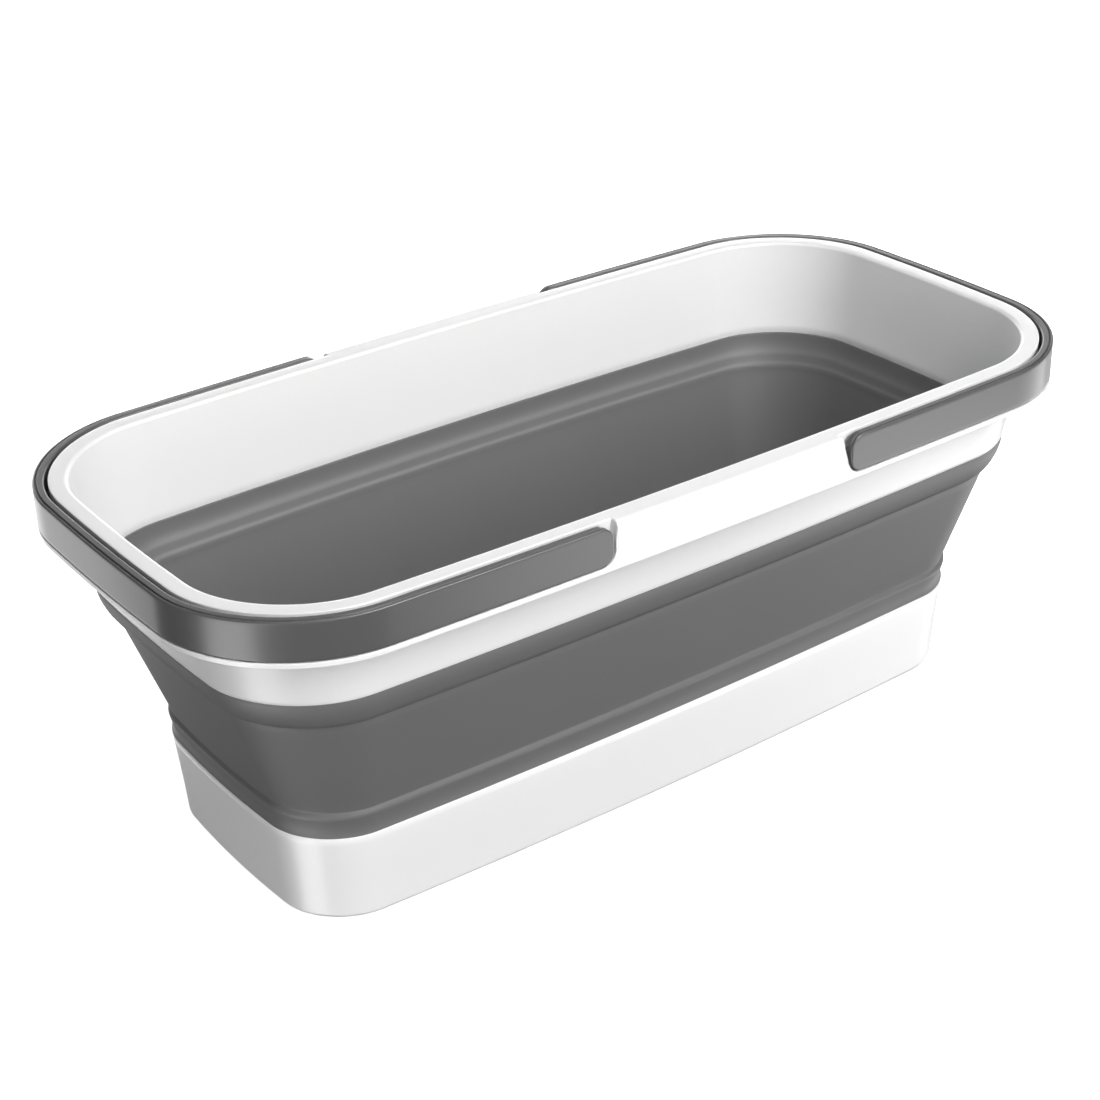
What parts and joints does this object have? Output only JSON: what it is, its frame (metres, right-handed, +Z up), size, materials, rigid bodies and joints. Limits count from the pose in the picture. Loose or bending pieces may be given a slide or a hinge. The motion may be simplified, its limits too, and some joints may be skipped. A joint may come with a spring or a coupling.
{
  "type": "folding pet bathtub",
  "caption": "Rounded rectangular folding pet bathtub: rigid rim and base joined by a soft fold-down wall, with two swing-up U handles and a drain plug.",
  "frame": {"origin": "middle of the footprint, on the surface that the tub stands on", "axes": "+X along the tub's length, +Y across it, +Z up; rest is the tub fully open with both handles down"},
  "size_m": [0.5, 0.2436, 0.1837],
  "materials": {
    "white_pp": "moulded white polypropylene, satin gloss",
    "grey_pp": "moulded mid grey polypropylene, satin",
    "grey_tpe": "matt dark grey thermoplastic elastomer",
    "grey_silicone": "matt dark grey silicone rubber",
    "pin_acetal": "natural white acetal"
  },
  "bodies": {
    "base": {"base_tray": "white_pp", "folding_wall": "grey_tpe", "drain_seal": "grey_silicone", "foot_pad_left_front": "grey_silicone", "foot_pad_left_back": "grey_silicone", "foot_pad_right_front": "grey_silicone", "foot_pad_right_back": "grey_silicone"},
    "rim": {"rim": "white_pp", "pivot_pin_left_front": "pin_acetal", "pivot_pin_left_back": "pin_acetal", "pivot_pin_right_front": "pin_acetal", "pivot_pin_right_back": "pin_acetal"},
    "left_handle": {"left_handle": "grey_pp"},
    "right_handle": {"right_handle": "grey_pp"},
    "plug": {"drain_plug": "grey_silicone"}
  },
  "joints": [
    {"name": "rim_fold", "type": "slide", "parent": "base", "child": "rim", "axis": [0, 0, -1], "range_m": [0, 0.112], "deforming": ["folding_wall"]},
    {"name": "left_handle_swing", "type": "hinge", "parent": "rim", "child": "left_handle", "pos_m": [-0.0767, 0, 0.17435], "axis": [0, 1, 0], "range_deg": [0, 98]},
    {"name": "right_handle_swing", "type": "hinge", "parent": "rim", "child": "right_handle", "pos_m": [0.0767, 0, 0.17435], "axis": [0, -1, 0], "range_deg": [0, 98]},
    {"name": "plug_pull", "type": "slide", "parent": "base", "child": "plug", "axis": [0, 0, 1], "range_m": [0, 0.03]}
  ]
}
